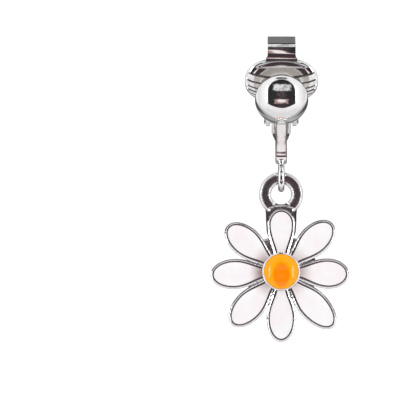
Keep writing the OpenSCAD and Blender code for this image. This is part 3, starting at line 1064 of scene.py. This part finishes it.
def lip_path(lengths, skew):
    """The middle line of the tab and its lip at one edge, in (y, z)."""
    bends, degrees = np.array(LIP).T
    bends[1:3] += skew
    tilts = np.radians(np.interp(lengths, bends, degrees))
    moves = np.column_stack([np.sin(tilts), np.cos(tilts)]) * lengths[1]
    face = np.vstack([[0.0, 0.0], np.cumsum(moves[:-1], axis=0)])
    middle = face + np.column_stack([np.cos(tilts), -np.sin(tilts)]) * SHEET_T / 2
    foot = leaning_place(TAB_FACE + TAB_SET_BACK, 0.0)
    rise = (PADDLE_TOP_Z - 0.002 - foot[1] - face[:, 1].max()) / math.cos(JAW_LEAN)
    return middle + foot + np.array([-math.sin(JAW_LEAN), math.cos(JAW_LEAN)]) * rise


def finger_tab():
    """The tab above the pad and its lip, bent a little askew and flared where it leaves the pad."""
    lengths = np.linspace(0.0, LIP[-1][0], LIP_STEPS)
    sections = []
    for length in lengths:
        flare = FLARE_W * math.exp(-max(length - PAD_TOP_LENGTH, 0.0) / FLARE_REACH)
        straight = eased((BEVELS_END - length) / 0.5)
        sections.append(strip_section(
            TAB_W / 2 - SKIN + flare, SHEET_T / 2, 0.05 + 0.19 * straight, 0.03 + 0.14 * straight))
    left = swept_strip(lip_path(lengths, BEND_SKEW), sections)
    right = swept_strip(lip_path(lengths, -BEND_SKEW), sections)
    rings = []
    for a, b in zip(left, right):
        share = np.clip(a[:, :1] / TAB_W + 0.5, 0.0, 1.0)
        rings.append(a + (b - a) * share)
    return lofted(rings)


def neck():
    """The neck below the pad with its two flanges."""
    face = TAB_FACE + 0.1
    back = face + SHEET_T
    end = PIN_Z + FLANGE_R + 0.12
    top = PAD_RISE - PAD_HALF_H + 0.5
    half = NECK_W / 2
    outline = rounded_outline([(-half, end), (half, end), (half, top), (-half, top)], 0.1)
    rings = plate_rings(outline, face, back, 0.09)
    solids = [lofted([leaning(ring[:, FRONTWAYS]) for ring in rings])]
    nose = arc((PIN_Y, PIN_Z), FLANGE_R, 180, 360, 24)
    side = np.vstack([nose, [(PIN_Y + FLANGE_R, end + 0.5), (back, top), (face, top), (face, end + 0.8)]])
    for x in (-half, half - FLANGE_T):
        rings = plate_rings(rounded_outline(side, 0.15, 2), x, x + FLANGE_T, 0.08)
        solids.append(lofted([leaning(ring[:, SIDEWAYS]) for ring in rings]))
    return solids


def paddle():
    """The pressed sheet: pad, finger tab, neck and flanges."""
    solids = [pad(), finger_tab()] + neck()
    made = combined("paddle_polished", solids, [pin_hole(PIN_R + 0.05, NECK_W)])
    dress(made, "paddle", "plated_metal", PADDLE_PLATING, "clip_paddle")


# Studio: a soft white tent with a dark opening on the camera's side. Its parts are laid out as
# on a mirror ball seen from the front: 0 is its middle and 1 its edge, across and upwards
BACKGROUND = grey(1.0)
SOFT_LOW = grey(0.9)
SOFT_HIGH = grey(1.12)

# The opening: a round arch on upright sides, over a curved foot
OPENING_HALF_W = 0.455
OPENING_SPRING = 0.09
OPENING_RISE = 0.39
OPENING_FOOT = -0.45
FOOT_CURVE = 0.7
# The arch's measure at the opening's edge, and at the strip lamps round it
ARCH_EDGE = (0.93, 1.03)
LAMP_ARCH = (1.14, 1.26)

# What is seen through the opening
FRONT_LOW = (0.036, 0.032, 0.034, 1.0)
FRONT_HIGH = (0.026, 0.027, 0.028, 1.0)
MOTTLE_DARK = (0.04, 0.028, 0.032, 1.0)
MOTTLE_LIGHT = (0.13, 0.1, 0.11, 1.0)
VIOLET = (0.055, 0.04, 0.045, 1.0)
SALMON = (0.42, 0.27, 0.26, 1.0)
GLOW = (0.9, 0.86, 0.86, 1.0)
GLOW_LEVEL = -0.23
GLOW_FLATNESS = 3.0
WINDOW = (0.78, 0.78, 0.79, 1.0)

# The tent's wall, the lamps on it, and what lies behind the earring
WALL_LOW = (0.8, 0.75, 0.74, 1.0)
WALL_HIGH = grey(0.97)
WALL_STREAK = grey(0.55)
WALL_BAND = (0.77, 0.75, 0.76, 1.0)
CRESCENT = grey(0.4)
REAR_TOP = grey(0.19)
LAMP = grey(11.0)
REAR_LOW = grey(0.42)
REAR_HIGH = grey(0.06)
FAR_DARK = grey(0.16)
FAR_LIGHT = grey(0.6)
CAP = (0.06, 0.065, 0.06, 1.0)


def mirror_ball_place(net):
    """Where on a mirror ball a ray's way would be seen, and the way itself."""
    way = net.add("ShaderNodeTexCoord").outputs["Generated"]
    ball = net.vector("NORMALIZE", net.vector("ADD", way, (0.0, -1.0, 0.0)))
    x, _, z = net.parts(ball)
    return SimpleNamespace(
        way=way, ball=ball, x=x, z=z,
        side=net.math("ABSOLUTE", x), level=net.math("ABSOLUTE", z), out=net.distance(x, z),
    )


def arch_measure(net, at):
    """Grows with the distance from the opening's middle, and is 1 on its edge above the foot."""
    above = net.math("MAXIMUM", net.math("SUBTRACT", at.z, OPENING_SPRING), 0.0)
    return net.square_sum(
        net.math("DIVIDE", above, OPENING_RISE), net.math("DIVIDE", at.side, OPENING_HALF_W))


def opening_share(net, at, arch):
    """1 in the opening and 0 on the wall."""
    foot = net.math("SUBTRACT", at.z, net.product(at.x, at.x, FOOT_CURVE))
    return net.product(net.fall(arch, *ARCH_EDGE), net.ramp(foot, OPENING_FOOT - 0.02, OPENING_FOOT))


def opening_colour(net, at):
    """What is seen through the opening: a dim room with a bright window and a salmon glow."""

    def uneven(value, scale, amount, offset):
        place = net.vector("ADD", at.ball, (offset, 0.0, 0.0))
        return net.math("ADD", value, net.wander(net.noise(place, scale, 3.0, 0.6), amount))

    near_x = uneven(at.side, 7.0, 0.2, 0.0)
    near_z = uneven(at.z, 9.0, 0.1, 5.0)

    def patch(half_w, low, high, soft):
        """A soft, uneven patch of the opening between two heights."""
        across = net.fall(near_x, half_w - soft, half_w + soft)
        return net.product(across, net.band(near_z, low, high, soft))

    mottle = net.ramp(net.noise(at.ball, 26.0, 2.0, 0.6), 0.42, 0.6)
    glow = net.distance(net.product(net.math("SUBTRACT", at.z, GLOW_LEVEL), GLOW_FLATNESS), at.x)
    gaps = net.ramp(net.noise(at.ball, 11.0, 3.0, 0.6), 0.38, 0.5, 0.5, 1.0)
    return net.painted(net.mix(net.ramp(at.z, -0.4, 0.3), FRONT_LOW, FRONT_HIGH), [
        (net.fall(at.out, 0.06, 0.22), net.mix(mottle, MOTTLE_DARK, MOTTLE_LIGHT)),
        (patch(0.14, -0.5, -0.3, 0.03), VIOLET),
        (patch(0.22, -0.3, -0.19, 0.04), SALMON),
        (net.fall(glow, 0.1, 0.19), GLOW),
        (net.product(patch(0.27, 0.13, 0.29, 0.05), gaps), WINDOW),
    ])


def rear_colour(net, at):
    """The dim space behind the earring, with a cloudy grey wall far back."""
    far = net.mix(net.ramp(net.noise(at.way, 1.6, 3.0, 0.6), 0.4, 0.62), FAR_DARK, FAR_LIGHT)
    rear = net.mix(net.ramp(at.z, -0.85, -0.5), REAR_LOW, REAR_HIGH)
    return net.mix(net.ramp(at.out, 0.9, 0.94), rear, far)


def wall_colour(net, at, arch):
    """The white tent: a grey crescent low down, strip lamps beside the opening, and dark ends."""
    streaks = net.ramp(net.noise(at.way, 3.0, 3.0, 0.6), 0.45, 0.75, 0.0, 0.12)
    crescent = net.product(
        net.ramp(at.out, 0.75, 0.84), net.fall(at.z, -0.45, -0.2),
        net.ramp(at.side, 0.05, 0.3, 0.35, 1.0))
    rear_top = net.product(net.fall(at.side, 0.22, 0.34), net.ramp(at.z, 0.66, 0.72))
    halo = net.product(net.fall(at.side, 0.56, 0.8), net.fall(at.level, 0.3, 0.55))
    lamp = net.product(net.band(arch, *LAMP_ARCH, 0.08), net.fall(at.level, 0.12, 0.3))
    cap_z = net.math("MULTIPLY_ADD", net.product(at.x, at.x), 0.5, at.z)
    cap = net.product(net.band(cap_z, 0.5, 0.54, 0.02), net.fall(at.side, 0.12, 0.24))
    return net.painted(net.mix(net.ramp(at.z, -0.95, 0.0), WALL_LOW, WALL_HIGH), [
        (streaks, WALL_STREAK),
        (net.band(at.out, 0.66, 0.76, 0.06), WALL_BAND),
        (crescent, CRESCENT),
        (rear_top, REAR_TOP),
        (halo, grey(1.0)),
        (lamp, LAMP),
        (net.ramp(at.out, 0.83, 0.87), rear_colour(net, at)),
        (cap, CAP),
    ])


def studio():
    """Mirrors see the tent, diffuse light is an even white, and the camera sees plain white."""
    world = bpy.data.worlds.new("studio")
    bpy.context.scene.world = world
    world.use_nodes = True
    net = Net(world.node_tree)
    at = mirror_ball_place(net)
    arch = arch_measure(net, at)
    tent = net.mix(opening_share(net, at, arch), wall_colour(net, at, arch), opening_colour(net, at))
    soft = net.mix(net.ramp(net.parts(at.way)[2], -0.6, 0.8), SOFT_LOW, SOFT_HIGH)
    ray = net.add("ShaderNodeLightPath").outputs
    seen = net.painted(tent, [(ray["Is Diffuse Ray"], soft), (ray["Is Camera Ray"], BACKGROUND)])
    shade = net.add("ShaderNodeBackground", {"Color": seen, "Strength": 1.0})
    net.add("ShaderNodeOutputWorld", {"Surface": shade.outputs[0]})


def floor():
    """A pale sweep, in metres: flat under the part, and curved up far behind it."""
    front, back, low, high, half_w, radius = -0.9, 0.62, -0.075, 0.7, 1.6, 0.25
    sweep = arc((back - radius, low + radius), radius, -90, 0, 15)
    line = [(front, low), *sweep, (back, high)]
    vertices = [(x, y, z) for y, z in line for x in (-half_w, half_w)]
    faces = [(2 * k, 2 * k + 1, 2 * k + 3, 2 * k + 2) for k in range(len(line) - 1)]
    mesh = bpy.data.meshes.new("floor")
    mesh.from_pydata(vertices, [], faces)
    mesh.shade_smooth()
    made = placed("floor", mesh)
    material, net, place = new_material("pale_floor")
    colour = net.mix(net.noise(place, 6.0, 3.0), grey(0.95), grey(0.97))
    grain = net.noise(place, 300.0, 2.0)
    finish_material(net, colour, 0.9, grain, 0.05, Specular_IOR_Level=0.0)
    mesh.materials.append(material)
    made.visible_glossy = False


# Camera: straight on, with the earring at its place in the 400 pixel frame
PIXEL_MM = 0.115
FRAME_PIXELS = 400
MIDDLE_PIXEL = (281.2, 98.9)
CAMERA_DISTANCE = 700.0


def camera():
    """A long lens far away, so that the view is nearly without perspective."""
    data = bpy.data.cameras.new("camera")
    data.lens = data.sensor_width * CAMERA_DISTANCE / (FRAME_PIXELS * PIXEL_MM)
    data.clip_start, data.clip_end = 0.01, 10.0
    made = placed("camera", data)
    half = FRAME_PIXELS / 2
    x = (half - MIDDLE_PIXEL[0]) * PIXEL_MM
    z = (MIDDLE_PIXEL[1] - half) * PIXEL_MM
    made.location = Vector((x, DAISY_Y - CAMERA_DISTANCE, z)) * MM
    made.rotation_euler = (math.pi / 2, 0.0, 0.0)
    bpy.context.scene.camera = made


daisy()
bracket()
pin()
paddle()
studio()
floor()
camera()
bpy.context.scene.view_settings.view_transform = "Standard"
